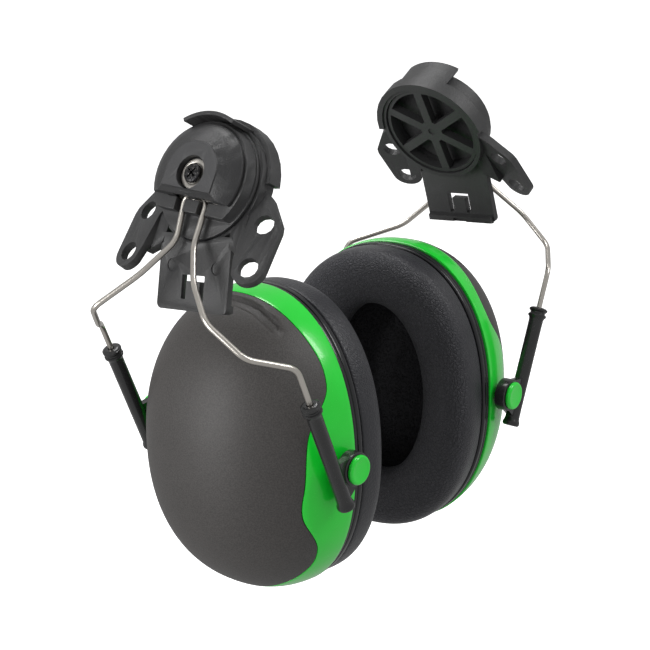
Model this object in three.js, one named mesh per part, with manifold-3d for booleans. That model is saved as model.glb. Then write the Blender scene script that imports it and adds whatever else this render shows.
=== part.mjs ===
// A pair of helmet-mounted earmuffs: two mirrored halves, each a hub on a helmet blade,
// a sprung wire arm, two telescoping sleeves and a hinged ear cup.
// Millimetres. X is across the head, Y points to the back of the head, Z is up.
// The origin lies midway between the two hub centres.

import * as THREE from 'three';
import { mergeVertices } from 'three/addons/utils/BufferGeometryUtils.js';
import Module from 'manifold-3d';

const wasm = await Module();
wasm.setup();

// ---------------------------------------------------------------- driving dimensions

const GAP = 0.3; // running gap between neighbouring pieces
const degrees = THREE.MathUtils.degToRad;

// Where a half sits on the helmet.
const HUB_HALF_SPACING = 62.4;
const HELMET_SLOPE = degrees(28.4); // the hub faces out and up by this much
const HUB_SWIVEL = degrees(5.9); // the arms point slightly backwards

// Helmet mount.
const RING = { outer: 21, inner: 19.3, shoulder: 17.9, back: -2, step: 2.4, front: 4.7 };
const FLANGE = { outer: 22.9, back: -2.8, front: 2.8, from: degrees(4), to: degrees(176) };
const HOOD = { outer: 21.7, inner: 20.4, front: 13.6, half: degrees(30) };
const WING = { x: 24.9, top: -11.5, bottom: -27.3, topZ: 3.5, bottomZ: 7.3, bend: degrees(12) };
const WING_SKEW = { y: 0.8, z: 0.35 }; // the rear wing sits higher than the front one
const WING_ABOVE = [[13, -4], [21.5, 0.5], [25, -2], [30.9, -10.5], [31.4, -13]];
const WING_ROOT = [[18.6, -25], [17.5, -13]];
const WING_TOE = degrees(150); // how far the rounded lower end runs round its hole
const WING_THICKNESS = 2.8;
const WING_HOLE = 3.5;
const WING_END = 5.9;
const GUSSET = { outline: [[13, -14], [18.5, -10], [20.5, -25], [14.4, -21.5]], back: 1.2, front: 5 };
const BLADE = { width: 30, thickness: 2.5, top: -18, bottom: -42.4, topZ: 5.3, bottomZ: -0.9 };
const BLADE_CORNER = 2;
const BLADE_STRETCH = 1.03; // the sloping blade is this much longer than it is tall
const LIP = { height: 2.8, depth: 2, chamfer: 0.7, notch: 6 };
const TONGUE = { width: 5.8, height: 8, slot: 1.9, bridge: 2, foot: 3.8 };
const PIN_MARK = { radius: 2.2, x: 9.5, y: -28.5, depth: 0.35 };

// Hub.
const SPOKES = 6;
const WHEEL = { radius: 19, rim: 17.65, hub: 4.6, spoke: 3.4, back: -1.2, front: 2.1 };
const WHEEL_STEPS = 36;
const SCREW = { head: 3.3, shank: 1.6, top: 15.3, under: 14.3, tip: 1.5 };
const SCREW_CROSS = { reach: 2, half: 0.35, depth: 1 };
const SCREW_BOSS = 3.6;
const DIMPLE = { radius: 1.5, depth: 0.5 };
const BUSH = { flange: 5.2, tube: 2.6, bore: 1.9, top: 14, seat: 13.2, foot: 5 };
const BASE = { radius: 20, back: 5, disc: 6.3, block: 19.2, front: 10.6, chord: -12.2 };
const POCKET = { half: 11, low: -7.8, high: -4.9, floor: 7 };
const COVER = { radius: 18.2, back: 10.9, edge: 12, front: 15.9, flat: -7.8, wall: 1.8 };
const COVER_FACE = { radius: 10.6, flat: -5.6, step: 0.5 };
const COVER_RECESS = 5.7;
const LEAF = { length: 18, width: 2.6, thickness: 0.5, rise: 0.4 };

// Wire arm and sleeves, in the arm's own frame: X back, Y up, Z out.
const WIRE_RADIUS = 1;
const WIRE_GAUGE_GAP = 0.35;
const WIRE_IN_SLEEVE = 34;
const WIRE_ABOVE_SLEEVE = { front: 15, rear: 11 };
const WIRE_BEND = 3;
const CROSSBAR = { half: 5, y: -6.3, z: 9 };
const WIRE_SLOT = 1.9; // half the width of the slots the legs leave the hub through
const SLEEVE = { radius: 2.7, length: 45.9, collar: 3.5, foot: 3.2 };
const SLEEVE_WEB = { from: 27, to: 42, high: [4.2, 3.2], low: [-3.2, -4.2], near: 43.4, far: 46 };
const SLEEVE_TOP = new THREE.Vector3(-44.6, -59.2, -24.7);
const SLEEVE_DIRECTION = new THREE.Vector3(0, -0.6, -0.8);
const PIVOT = { y: -73.6, z: -57.9, collar: 6, button: 5.2, shaft: 2.2 };
const PIVOT_DEPTH = { foot: 42.2, face: 46.4, dome: 1.6, shaft: 37.8 };
// The rear sleeve stands a little wider and further out than the front one.
const REAR_SHIFT = new THREE.Vector3(1.6, 0, 1);

// Ear cup, in its own frame: X back, Y up, Z out from the head.
const CUP_CENTRE = new THREE.Vector3(37.7, 8.2, -92.6);
const CUP_TOE = degrees(6.5);
const CUP_LEAN = degrees(3.3);
const CUP = { half: 42, tall: 54.6, depth: 41, wall: 2.2, power: 2.22, egg: 0.012, dome: 2.2 };
const BAND = { height: 9.8, lobe: 10.8, dip: 2.4, keel: 3.2, split: 0.3 };
// In degrees round the rim from a pivot: the lobe's middle, its flank, and the dip beside it.
const BAND_SPAN = { middle: 4.5, flank: [12, 29], dip: 38, dipWidth: 11 };
const PLATE = { inset: 0.5, back: -4.6, lip: 3, holeHalf: 25, holeTall: 37 };
const CUSHION = { inset: 0.6, back: -18.5, holeHalf: 19.6, holeTall: 32.5, round: 5 };
const FOAM = { inset: 5.6, stations: [0.05, 0.18, 0.36, 0.55, 0.72, 0.88] };
const CUP_STEPS = 36;

// ---------------------------------------------------------------- materials

const material = (color, roughness, metalness = 0) =>
  new THREE.MeshStandardMaterial({ color, roughness, metalness });

const BLACK_PLASTIC = material(0x1c1c1e, 0.5);
const GREY_SHELL = material(0x4b4745, 0.55);
const GREEN_PLASTIC = material(0x25b53f, 0.3);
const STEEL = material(0xb8b4ac, 0.3, 1);
const BLACK_SCREW = material(0x141414, 0.35, 1);
const CUSHION_SKIN = material(0x232326, 0.7);
const FOAM_BLACK = material(0x141415, 0.95);

// ---------------------------------------------------------------- solids

function toManifold(geometry) {
  const bare = geometry.clone();
  bare.deleteAttribute('normal');
  bare.deleteAttribute('uv');
  const merged = mergeVertices(bare, 1e-4);
  return new wasm.Manifold(new wasm.Mesh({
    numProp: 3,
    vertProperties: new Float32Array(merged.attributes.position.array),
    triVerts: new Uint32Array(merged.index.array),
  }));
}

function toGeometry(solid) {
  const mesh = solid.getMesh();
  const geometry = new THREE.BufferGeometry();
  geometry.setAttribute('position', new THREE.BufferAttribute(mesh.vertProperties, 3));
  geometry.setIndex(new THREE.BufferAttribute(mesh.triVerts, 1));
  geometry.computeVertexNormals();
  return geometry;
}

// Joins the first geometry with the others, then cuts the last list away.
function carve(joined, cuts = []) {
  let solid = toManifold(joined[0]);
  for (const more of joined.slice(1)) {
    solid = solid.add(toManifold(more));
  }
  for (const cut of cuts) {
    solid = solid.subtract(toManifold(cut));
  }
  return toGeometry(solid);
}

// A ring or disc about Z from a closed profile of [radius, z] points.
function turned(profile, segments = 32) {
  const points = profile.map(([r, z]) => new THREE.Vector2(r, z));
  points.push(points[0].clone());
  return new THREE.LatheGeometry(points, segments).rotateX(Math.PI / 2);
}

// A solid cylinder about Z between two heights.
function rod(radius, low, high, segments = 24) {
  const cylinder = new THREE.CylinderGeometry(radius, radius, high - low, segments);
  return cylinder.rotateX(Math.PI / 2).translate(0, 0, (low + high) / 2);
}

// A block between two corners.
function block(low, high) {
  const size = high.map((value, i) => value - low[i]);
  const box = new THREE.BoxGeometry(...size);
  return box.translate(...low.map((value, i) => value + size[i] / 2));
}

function plate(shape, low, high, curveSegments = 12) {
  const options = { depth: high - low, bevelEnabled: false, curveSegments };
  return new THREE.ExtrudeGeometry(shape, options).translate(0, 0, low);
}

// A hole that runs against the outline of a shape drawn clockwise.
function roundHole(x, y, radius, steps = 12) {
  const points = Array.from({ length: steps }, (_, i) => {
    const angle = (i * Math.PI * 2) / steps;
    return new THREE.Vector2(x + radius * Math.cos(angle), y + radius * Math.sin(angle));
  });
  return new THREE.Path(points);
}

// A sector of a ring about Z.
function arcBand(inner, outer, from, to, low, high, curveSegments = 8) {
  const shape = new THREE.Shape();
  shape.absarc(0, 0, outer, from, to, false);
  shape.absarc(0, 0, inner, to, from, true);
  shape.closePath();
  return plate(shape, low, high, curveSegments);
}

// A closed skin from rings of equally many points, capped at both ends.
function skinned(rings) {
  const count = rings[0].length;
  const vertices = rings.flat();
  const index = [];
  for (let ring = 0; ring + 1 < rings.length; ring += 1) {
    for (let i = 0; i < count; i += 1) {
      const a = ring * count + i;
      const b = ring * count + ((i + 1) % count);
      index.push(a, b, b + count, a, b + count, a + count);
    }
  }
  for (const [ring, flip] of [[0, true], [rings.length - 1, false]]) {
    const centre = new THREE.Vector3();
    rings[ring].forEach((point) => centre.addScaledVector(point, 1 / count));
    const middle = vertices.push(centre) - 1;
    for (let i = 0; i < count; i += 1) {
      const a = ring * count + i;
      const b = ring * count + ((i + 1) % count);
      index.push(...(flip ? [b, a, middle] : [a, b, middle]));
    }
  }
  return new THREE.BufferGeometry().setFromPoints(vertices).setIndex(index);
}

// A closed skin from rings that lead back to the first one, as round a tyre.
function looped(rings) {
  const count = rings[0].length;
  const index = [];
  for (let ring = 0; ring < rings.length; ring += 1) {
    const next = ((ring + 1) % rings.length) * count;
    for (let i = 0; i < count; i += 1) {
      const a = ring * count + i;
      const b = ring * count + ((i + 1) % count);
      const c = next + ((i + 1) % count);
      const d = next + i;
      index.push(a, b, c, a, c, d);
    }
  }
  return new THREE.BufferGeometry().setFromPoints(rings.flat()).setIndex(index);
}

function mesh(name, geometry, finish) {
  const piece = new THREE.Mesh(geometry, finish);
  piece.name = name;
  return piece;
}

// ---------------------------------------------------------------- helmet mount

function bladeZ(y) {
  const t = (y - BLADE.top) / (BLADE.bottom - BLADE.top);
  return BLADE.topZ + t * (BLADE.bottomZ - BLADE.topZ);
}

// Turns a flat plate drawn in XY so that its front follows the blade's slope.
function onBlade(geometry) {
  const slope = Math.atan2(BLADE.topZ - BLADE.bottomZ, BLADE.top - BLADE.bottom);
  return geometry.translate(0, -BLADE.top, 0).rotateX(slope).translate(0, BLADE.top, BLADE.topZ);
}

function bladeSolid() {
  const half = BLADE.width / 2;
  const low = BLADE.top - (BLADE.top - BLADE.bottom) * BLADE_STRETCH;
  const corner = BLADE_CORNER;
  const outline = new THREE.Shape();
  outline.moveTo(-half, BLADE.top);
  outline.lineTo(-half, low + corner);
  outline.absarc(-half + corner, low + corner, corner, Math.PI, Math.PI * 1.5, false);
  outline.lineTo(half - corner, low);
  outline.absarc(half - corner, low + corner, corner, Math.PI * 1.5, Math.PI * 2, false);
  outline.lineTo(half, BLADE.top);
  outline.closePath();
  const inner = BLADE.thickness - 0.2;
  const lip = new THREE.Shape([
    new THREE.Vector2(inner, low + LIP.height + LIP.chamfer),
    new THREE.Vector2(inner, low),
    new THREE.Vector2(BLADE.thickness, low),
    new THREE.Vector2(BLADE.thickness + LIP.depth, low + LIP.chamfer),
    new THREE.Vector2(BLADE.thickness + LIP.depth, low + LIP.height),
  ]);
  // The lip's outline has the blade's depth along X, which this turn lays along -Z.
  const lipBar = plate(lip, -half + 0.8, half - 0.8).rotateY(Math.PI / 2);
  return carve(
    [onBlade(plate(outline, -BLADE.thickness, 0)), onBlade(lipBar)],
    [...tongueSlots(low), lipNotch(low)],
  );
}

// Swaps the winding of a mirrored geometry so that it faces outwards again.
function turnedInsideOut(geometry) {
  const flat = geometry.index ? geometry.toNonIndexed() : geometry;
  const position = flat.attributes.position;
  for (let i = 0; i < position.count; i += 3) {
    const second = new THREE.Vector3().fromBufferAttribute(position, i + 1);
    const third = new THREE.Vector3().fromBufferAttribute(position, i + 2);
    position.setXYZ(i + 1, ...third.toArray());
    position.setXYZ(i + 2, ...second.toArray());
  }
  return flat;
}

// The U-shaped slot that frees the snap tongue.
function tongueSlots(low) {
  const half = TONGUE.width / 2;
  const foot = low + TONGUE.foot;
  const top = foot + TONGUE.height;
  const through = [-BLADE.thickness - 1, 1];
  const cuts = [-1, 1].map((side) => block(
    [Math.min(side * half, side * (half + TONGUE.slot)), foot, through[0]],
    [Math.max(side * half, side * (half + TONGUE.slot)), top, through[1]],
  ));
  const bridge = top - TONGUE.bridge;
  cuts.push(block([-half - 0.1, bridge, through[0]], [half + 0.1, top, through[1]]));
  return cuts.map(onBlade);
}

function lipNotch(low) {
  const half = LIP.notch / 2;
  const z = -BLADE.thickness - LIP.depth;
  return onBlade(block([-half, low - 1, z - 1], [half, low + 2, z + 1.4]));
}

function wingOutline() {
  const shape = new THREE.Shape(WING_ABOVE.map(([x, y]) => new THREE.Vector2(x, y)));
  shape.lineTo(WING.x + WING_END, WING.bottom);
  shape.absarc(WING.x, WING.bottom, WING_END, 0, -WING_TOE, true);
  for (const [x, y] of WING_ROOT) {
    shape.lineTo(x, y);
  }
  shape.closePath();
  for (const y of [WING.top, WING.bottom]) {
    shape.holes.push(roundHole(WING.x, y, WING_HOLE));
  }
  return shape;
}

// One wing, turned so that its face passes through both holes and bends round the helmet.
function wing(side) {
  const lean = Math.atan2(WING.bottomZ - WING.topZ, WING.top - WING.bottom);
  const flat = plate(wingOutline(), -WING_THICKNESS, 0, 8);
  flat.translate(-WING.x, -WING.top, 0);
  flat.rotateX(-lean).rotateY(WING.bend);
  flat.translate(WING.x, WING.top + side * WING_SKEW.y, WING.topZ + side * WING_SKEW.z);
  return side > 0 ? flat : turnedInsideOut(flat.scale(-1, 1, 1));
}

// The low web that ties a wing's inner edge to the blade, under the path of the wire.
function gusset(side) {
  const points = GUSSET.outline.map(([x, y]) => new THREE.Vector2(side * x, y));
  return plate(new THREE.Shape(points), GUSSET.back, GUSSET.front);
}

function mountFrame() {
  const ring = turned([
    [RING.inner, RING.back], [RING.outer, RING.back], [RING.outer, RING.front],
    [RING.shoulder, RING.front], [RING.shoulder, RING.step], [RING.inner, RING.step],
  ], 36);
  const flange = arcBand(RING.outer - 0.4, FLANGE.outer, FLANGE.from, FLANGE.to,
    FLANGE.back, FLANGE.front);
  const hood = arcBand(HOOD.inner, HOOD.outer, Math.PI / 2 - HOOD.half,
    Math.PI / 2 + HOOD.half, RING.front - 2, HOOD.front);
  const clearForHub = rod(HOOD.inner, RING.front, 30, 36);
  const clearForWheel = rod(RING.inner, -10, RING.step, 36);
  const clearThrough = rod(RING.shoulder, -10, 30, 36);
  const marks = [-1, 1].map((side) => onBlade(
    rod(PIN_MARK.radius, -PIN_MARK.depth, 1, 12).translate(side * PIN_MARK.x, PIN_MARK.y, 0)));
  return carve(
    [ring, flange, hood, wing(1), wing(-1), gusset(1), gusset(-1), bladeSolid()],
    [clearForHub, clearForWheel, clearThrough, ...marks],
  );
}

function arcPoints(radius, from, to, steps) {
  return Array.from({ length: steps + 1 }, (_, i) => {
    const angle = from + ((to - from) * i) / steps;
    return new THREE.Vector2(radius * Math.cos(angle), radius * Math.sin(angle));
  });
}

// The six-spoked plate behind the hub, with the boss that takes the screw.
function spokedPlate() {
  const last = Math.PI * 2 * (1 - 1 / WHEEL_STEPS);
  const rim = new THREE.Shape(arcPoints(WHEEL.radius, 0, last, WHEEL_STEPS - 1));
  const half = Math.PI / SPOKES;
  const outerHalf = half - Math.asin(WHEEL.spoke / 2 / WHEEL.rim);
  const innerHalf = half - Math.asin(WHEEL.spoke / 2 / WHEEL.hub);
  for (let i = 0; i < SPOKES; i += 1) {
    const middle = ((i + 0.5) * Math.PI * 2) / SPOKES + Math.PI / 2;
    rim.holes.push(new THREE.Path([
      ...arcPoints(WHEEL.rim, middle + outerHalf, middle - outerHalf, 6),
      ...arcPoints(WHEEL.hub, middle - innerHalf, middle + innerHalf, 2),
    ]));
  }
  const boss = rod(SCREW_BOSS, WHEEL.front - 0.5, RING.front, 20);
  const pilot = rod(SCREW.shank + GAP, SCREW.tip - GAP, RING.front + 1, 12);
  const dimple = rod(DIMPLE.radius, WHEEL.back - 1, WHEEL.back + DIMPLE.depth, 12);
  return carve([plate(rim, WHEEL.back, WHEEL.front), boss], [pilot, dimple]);
}

// ---------------------------------------------------------------- hub

// A round outline with a flat foot, as rings of points for skinned().
function footedCircle(radius, flat, z, steps = 28) {
  const start = Math.asin(Math.max(-1, flat / radius));
  const points = [];
  for (let i = 0; i <= steps; i += 1) {
    const angle = start + ((Math.PI - 2 * start) * i) / steps;
    points.push(new THREE.Vector3(radius * Math.cos(angle), radius * Math.sin(angle), z));
  }
  return points;
}

// An arch with straight sides, with as many points as footedCircle().
function arch(radius, flat, z, steps = 28) {
  const points = footedCircle(radius, 0, z, steps - 2);
  points.unshift(new THREE.Vector3(radius, flat, z));
  points.push(new THREE.Vector3(-radius, flat, z));
  return points;
}

function hubCover() {
  const outer = skinned([
    footedCircle(COVER.radius, COVER.flat, COVER.back),
    footedCircle(COVER.radius, COVER.flat, COVER.edge),
    footedCircle(COVER.radius - 3.2, COVER.flat + 0.3, COVER.edge + 2),
    arch(COVER_FACE.radius + 0.2, COVER_FACE.flat - 0.2, COVER.front - COVER_FACE.step),
    arch(COVER_FACE.radius, COVER_FACE.flat, COVER.front),
  ]);
  const inner = skinned([
    footedCircle(COVER.radius - COVER.wall, COVER.flat + COVER.wall, COVER.back - 1),
    footedCircle(COVER.radius - COVER.wall, COVER.flat + COVER.wall, COVER.edge - 0.3),
    arch(COVER_FACE.radius - 1, COVER_FACE.flat + 1.6, COVER.front - COVER.wall),
  ]);
  const boss = rod(COVER_RECESS + 1.4, COVER.back, COVER.front - 1, 20);
  const recess = rod(COVER_RECESS, BUSH.seat - GAP, COVER.front + 1, 20);
  const bore = rod(BUSH.tube + GAP, 0, COVER.front + 1, 16);
  const notches = [-1, 1].map((side) => block(
    [side * CROSSBAR.half - WIRE_SLOT, COVER.flat - 1, COVER.back - 1],
    [side * CROSSBAR.half + WIRE_SLOT, COVER.flat + 2.6, COVER.edge + 1.2],
  ));
  const hollow = toManifold(outer).subtract(toManifold(inner)).add(toManifold(boss));
  return carve([toGeometry(hollow)], [recess, bore, ...notches]);
}

function hubBase() {
  const disc = rod(BASE.radius, BASE.back, BASE.disc, 36);
  const raised = skinned([
    footedCircle(BASE.block, BASE.chord, BASE.disc - 0.5),
    footedCircle(BASE.block, BASE.chord, BASE.front),
  ]);
  const bore = rod(BUSH.tube + GAP, 0, 20, 16);
  const pocket = block([-POCKET.half, POCKET.low, POCKET.floor],
    [POCKET.half, POCKET.high, BASE.front + 1]);
  const slots = [-1, 1].map((side) => block(
    [side * CROSSBAR.half - WIRE_SLOT, BASE.chord - 1, POCKET.floor],
    [side * CROSSBAR.half + WIRE_SLOT, POCKET.low + 1, BASE.front + 1],
  ));
  return carve([disc, raised], [bore, pocket, ...slots]);
}

function hubScrew() {
  const { head, shank, top, under, tip } = SCREW;
  const body = turned([
    [0, tip], [shank, tip + 0.6], [shank, under], [head, under],
    [head, top - 0.5], [head - 0.5, top], [0, top],
  ], 16);
  const { reach, half, depth } = SCREW_CROSS;
  const cross = [[reach, half], [half, reach]].map(([x, y]) =>
    block([-x, -y, top - depth], [x, y, top + 1]));
  return carve([body], cross);
}

function screwBush() {
  const { flange, tube, bore, top, seat, foot } = BUSH;
  return turned([
    [bore, foot], [tube, foot], [tube, seat], [flange, seat],
    [flange, top], [bore, top],
  ], 20);
}

// The bowed leaf that presses on the crossbar of the wire.
function leafSpring() {
  const half = LEAF.length / 2;
  const low = POCKET.floor + GAP / 3;
  const high = low + LEAF.thickness;
  const shape = new THREE.Shape();
  shape.moveTo(-half, low);
  shape.quadraticCurveTo(0, low + LEAF.rise, half, low);
  shape.lineTo(half, high);
  shape.quadraticCurveTo(0, high + LEAF.rise, -half, high);
  shape.closePath();
  const strip = plate(shape, -LEAF.width / 2, LEAF.width / 2, 8);
  return strip.rotateX(Math.PI / 2).translate(0, CROSSBAR.y, 0);
}

// ---------------------------------------------------------------- wire arm and sleeves

// Where a bar runs and which way it points, at both ends and along every rounded corner.
function bentPath(corners, radius) {
  const stations = [];
  for (let i = 1; i + 1 < corners.length; i += 1) {
    const before = corners[i - 1].clone().sub(corners[i]);
    const after = corners[i + 1].clone().sub(corners[i]);
    const cut = Math.min(radius, before.length() * 0.45, after.length() * 0.45);
    const enter = corners[i].clone().addScaledVector(before.normalize(), cut);
    const leave = corners[i].clone().addScaledVector(after.normalize(), cut);
    const bend = new THREE.QuadraticBezierCurve3(enter, corners[i], leave);
    for (const t of [0, 0.5, 1]) {
      stations.push({ point: bend.getPoint(t), along: bend.getTangent(t) });
    }
  }
  const first = { point: corners[0], along: stations[0].along };
  const last = { point: corners[corners.length - 1], along: stations[stations.length - 1].along };
  return [first, ...stations, last];
}

// A round bar through the stations, without twist from one ring to the next.
function roundBar(stations, radius, sides) {
  let across = new THREE.Vector3(1, 0, 0).cross(stations[0].along).normalize();
  return skinned(stations.map(({ point, along }) => {
    across = across.clone().addScaledVector(along, -across.dot(along)).normalize();
    const third = along.clone().cross(across);
    return Array.from({ length: sides }, (_, i) => {
      const angle = (i * 2 * Math.PI) / sides;
      return point.clone()
        .addScaledVector(across, radius * Math.cos(angle))
        .addScaledVector(third, radius * Math.sin(angle));
    });
  }));
}

// The bends of each leg, from the crossbar down to the straight run into the sleeve.
const LEG_BENDS = {
  front: [
    [-CROSSBAR.half, CROSSBAR.y, CROSSBAR.z], [-5.2, -22.4, 8.7], [-11.7, -34.2, 10.4],
    [-22.4, -45.8, 10.8], [-36, -53, 2.8],
  ],
  rear: [
    [CROSSBAR.half, CROSSBAR.y, CROSSBAR.z], [3.4, -21.7, 7.9], [10.5, -35.9, 11.8],
    [22.2, -51, 15.6], [30, -54.5, 2.5],
  ],
};

// From inside the front sleeve, up over the crossbar and down into the rear sleeve.
function wireCorners() {
  const [front, rear] = ['front', 'rear'].map((end) => {
    const leg = LEG_BENDS[end].map((point) => new THREE.Vector3(...point));
    const top = SLEEVE_TOP.clone();
    if (end === 'rear') {
      top.x = -top.x;
      top.add(REAR_SHIFT);
    }
    const bend = top.clone().addScaledVector(SLEEVE_DIRECTION, -WIRE_ABOVE_SLEEVE[end]);
    return [...leg, bend, top.addScaledVector(SLEEVE_DIRECTION, WIRE_IN_SLEEVE)];
  });
  return [...front.reverse(), ...rear];
}

function wireArm() {
  return roundBar(bentPath(wireCorners(), WIRE_BEND), WIRE_RADIUS, 8);
}

// One sleeve of the front side: tube, collar rings, foot and the eye for the pivot.
function sleeve() {
  const { radius, length, collar, foot } = SLEEVE;
  const tube = turned([
    [0, 0], [radius + 0.3, 0], [collar, -0.5], [collar, -1.4], [radius + 0.3, -1.9],
    [radius + 0.3, -2.5], [collar, -2.9], [collar, -3.8], [radius, -4.6],
    [radius, -length + 2.6], [foot, -length + 1.2], [foot, -length + 0.4], [foot - 0.4, -length],
    [0, -length],
  ].reverse(), 12);
  const turn = new THREE.Quaternion().setFromUnitVectors(
    new THREE.Vector3(0, 0, -1), SLEEVE_DIRECTION);
  tube.applyQuaternion(turn).translate(...SLEEVE_TOP.toArray());
  const bore = rod(WIRE_RADIUS + WIRE_GAUGE_GAP, -length + 3, 1, 10);
  bore.applyQuaternion(turn).translate(...SLEEVE_TOP.toArray());
  const collarRing = alongPivot(PIVOT.collar, PIVOT_DEPTH.foot, PIVOT_DEPTH.face, 20);
  const pinHole = alongPivot(PIVOT.shaft + GAP, PIVOT_DEPTH.foot - 1, PIVOT_DEPTH.face + 1, 12);
  return carve([tube, collarRing, sleeveWeb()], [bore, pinHole]);
}

// A cylinder about the pivot axis, between two distances from the middle of the cup.
function alongPivot(radius, near, far, segments) {
  const cylinder = rod(radius, -far, -near, segments).rotateY(Math.PI / 2);
  return cylinder.translate(0, PIVOT.y, PIVOT.z);
}

// The web that joins the pivot eye to its tube.
function sleeveWeb() {
  const { from, to, high, low, near, far } = SLEEVE_WEB;
  const along = SLEEVE_TOP.clone().addScaledVector(SLEEVE_DIRECTION, from);
  const below = SLEEVE_TOP.clone().addScaledVector(SLEEVE_DIRECTION, to);
  const shape = new THREE.Shape();
  shape.moveTo(along.y, along.z);
  shape.lineTo(PIVOT.y + high[0], PIVOT.z + high[1]);
  shape.lineTo(PIVOT.y + low[0], PIVOT.z + low[1]);
  shape.lineTo(below.y, below.z);
  shape.closePath();
  const slab = plate(shape, -far, -near, 4);
  // Shape X runs along the arm's Y, and shape Y along the arm's Z.
  const swap = new THREE.Matrix4().set(0, 0, 1, 0, 1, 0, 0, 0, 0, 1, 0, 0, 0, 0, 0, 1);
  return slab.applyMatrix4(swap);
}

// The green pivot pin: domed head outside the eye, shaft through it into the cup.
function pivotPin() {
  const { button, shaft } = PIVOT;
  const { face, dome, shaft: tip } = PIVOT_DEPTH;
  const seat = face + GAP;
  const pin = turned([
    [0, tip], [shaft, tip], [shaft, seat], [button, seat],
    [button, seat + dome * 0.5], [button * 0.86, seat + dome * 0.85],
    [button * 0.5, seat + dome], [0, seat + dome],
  ], 16);
  return pin.rotateY(-Math.PI / 2).translate(0, PIVOT.y, PIVOT.z);
}

// ---------------------------------------------------------------- ear cup

// The rim's outline at an angle, drawn in by an inset and scaled by k.
function rimPoint(angle, inset, k, z) {
  const { half, tall, power, egg } = CUP;
  const curve = (value) => Math.sign(value) * Math.abs(value) ** (2 / power);
  const y = (tall - inset) * k * curve(Math.sin(angle));
  const x = (half - inset) * k * curve(Math.cos(angle)) * (1 - (egg * y) / tall);
  return new THREE.Vector3(x, y, z);
}

// A ring of the cup's dome: s runs from 0 at the rim to 1 at the crown.
function domePoint(angle, inset, s) {
  const turn = (s * Math.PI) / 2;
  const k = Math.cos(turn) ** (2 / CUP.dome);
  const z = (CUP.depth - inset) * Math.sin(turn) ** (2 / CUP.dome);
  return rimPoint(angle, inset, k, z);
}

const cupAngles = Array.from({ length: CUP_STEPS }, (_, i) => (i * 2 * Math.PI) / CUP_STEPS);
const cupRing = (inset, s) => cupAngles.map((angle) =>
  domePoint(angle, inset, typeof s === 'function' ? s(angle) : s));
const flatRing = (inset, z) => cupAngles.map((angle) => rimPoint(angle, inset, 1, z));

// How high the coloured band reaches: a lobe at each pivot, a dip beside it, a deeper keel.
function bandHeight(angle) {
  const fromPivot = THREE.MathUtils.radToDeg(Math.atan2(Math.sin(angle), Math.abs(Math.cos(angle))));
  const offset = Math.abs(fromPivot + BAND_SPAN.middle);
  const lobe = 1 - THREE.MathUtils.smoothstep(offset, ...BAND_SPAN.flank);
  const dip = Math.exp(-(((offset - BAND_SPAN.dip) / BAND_SPAN.dipWidth) ** 2));
  const keel = Math.max(0, -Math.sin(angle)) ** 3;
  return BAND.height + BAND.lobe * lobe - BAND.dip * dip + BAND.keel * keel;
}

// The dome's own measure for a height above the rim.
const domeMeasure = (height) => (2 / Math.PI) * Math.asin((height / CUP.depth) ** (CUP.dome / 2));

const blend = (a, b, t) => a + (b - a) * t;

function cupShell() {
  const from = (angle) => domeMeasure(bandHeight(angle) + BAND.split);
  const steps = 6;
  const ring = (inset, i) => cupRing(inset, (angle) => blend(from(angle), 1, i / steps));
  const rings = [];
  for (let i = steps - 1; i >= 0; i -= 1) {
    rings.push(ring(CUP.wall, i));
  }
  for (let i = 0; i < steps; i += 1) {
    rings.push(ring(0, i));
  }
  return capsAtCrown(skinned(rings), rings);
}

// Moves the two middle points of a dome's skin to the crown.
function capsAtCrown(geometry, rings) {
  const position = geometry.attributes.position;
  const first = rings.length * rings[0].length;
  position.setXYZ(first, 0, 0, CUP.depth - CUP.wall);
  position.setXYZ(first + 1, 0, 0, CUP.depth);
  return geometry;
}

function cupBand() {
  const steps = 3;
  const ring = (inset, i) =>
    cupRing(inset, (angle) => blend(0, domeMeasure(bandHeight(angle)), i / steps));
  const rings = [];
  for (let i = 0; i <= steps; i += 1) {
    rings.push(ring(0, i));
  }
  for (let i = steps; i >= 0; i -= 1) {
    rings.push(ring(CUP.wall, i));
  }
  return carve([looped(rings)], ['front', 'rear'].map(pinHoleInCup));
}

// The hole for a pivot pin's shaft, in the cup's frame.
function pinHoleInCup(end) {
  const hole = rod(PIVOT.shaft + GAP, 30, 50, 12).rotateY(-Math.PI / 2);
  hole.translate(0, PIVOT.y, PIVOT.z);
  if (end === 'rear') {
    hole.rotateZ(Math.PI).translate(REAR_SHIFT.x, 2 * PIVOT.y, REAR_SHIFT.z);
  }
  return hole.applyMatrix4(armMatrix()).applyMatrix4(cupMatrix().invert());
}

// The plate that closes the cup and carries the cushion.
function cushionPlate() {
  const { inset, back, lip, holeHalf, holeTall } = PLATE;
  const hole = (z) => cupAngles.map((angle) => ellipse(angle, holeHalf, holeTall, z));
  return looped([
    flatRing(inset, -GAP), flatRing(CUP.wall + GAP + 0.2, -GAP),
    flatRing(CUP.wall + GAP + 0.4, lip), hole(lip), hole(back),
    flatRing(inset + 0.6, back), flatRing(inset, back + 0.8),
  ]);
}

function ellipse(angle, half, tall, z) {
  return new THREE.Vector3(half * Math.cos(angle), tall * Math.sin(angle), z);
}

// The soft ring that presses on the head.
function cushion() {
  const { inset, back, holeHalf, holeTall, round } = CUSHION;
  const front = PLATE.back - GAP;
  const hole = (grow, z) => cupAngles.map((angle) =>
    ellipse(angle, holeHalf + grow, holeTall + grow, z));
  return looped([
    flatRing(inset + 0.8, front), flatRing(inset, front - 2), flatRing(inset, back + round),
    flatRing(inset + round * 0.3, back + round * 0.3), flatRing(inset + round, back),
    hole(round + 1, back), hole(round * 0.3, back + round * 0.3), hole(0, back + round),
    hole(0, front),
  ].reverse());
}

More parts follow.
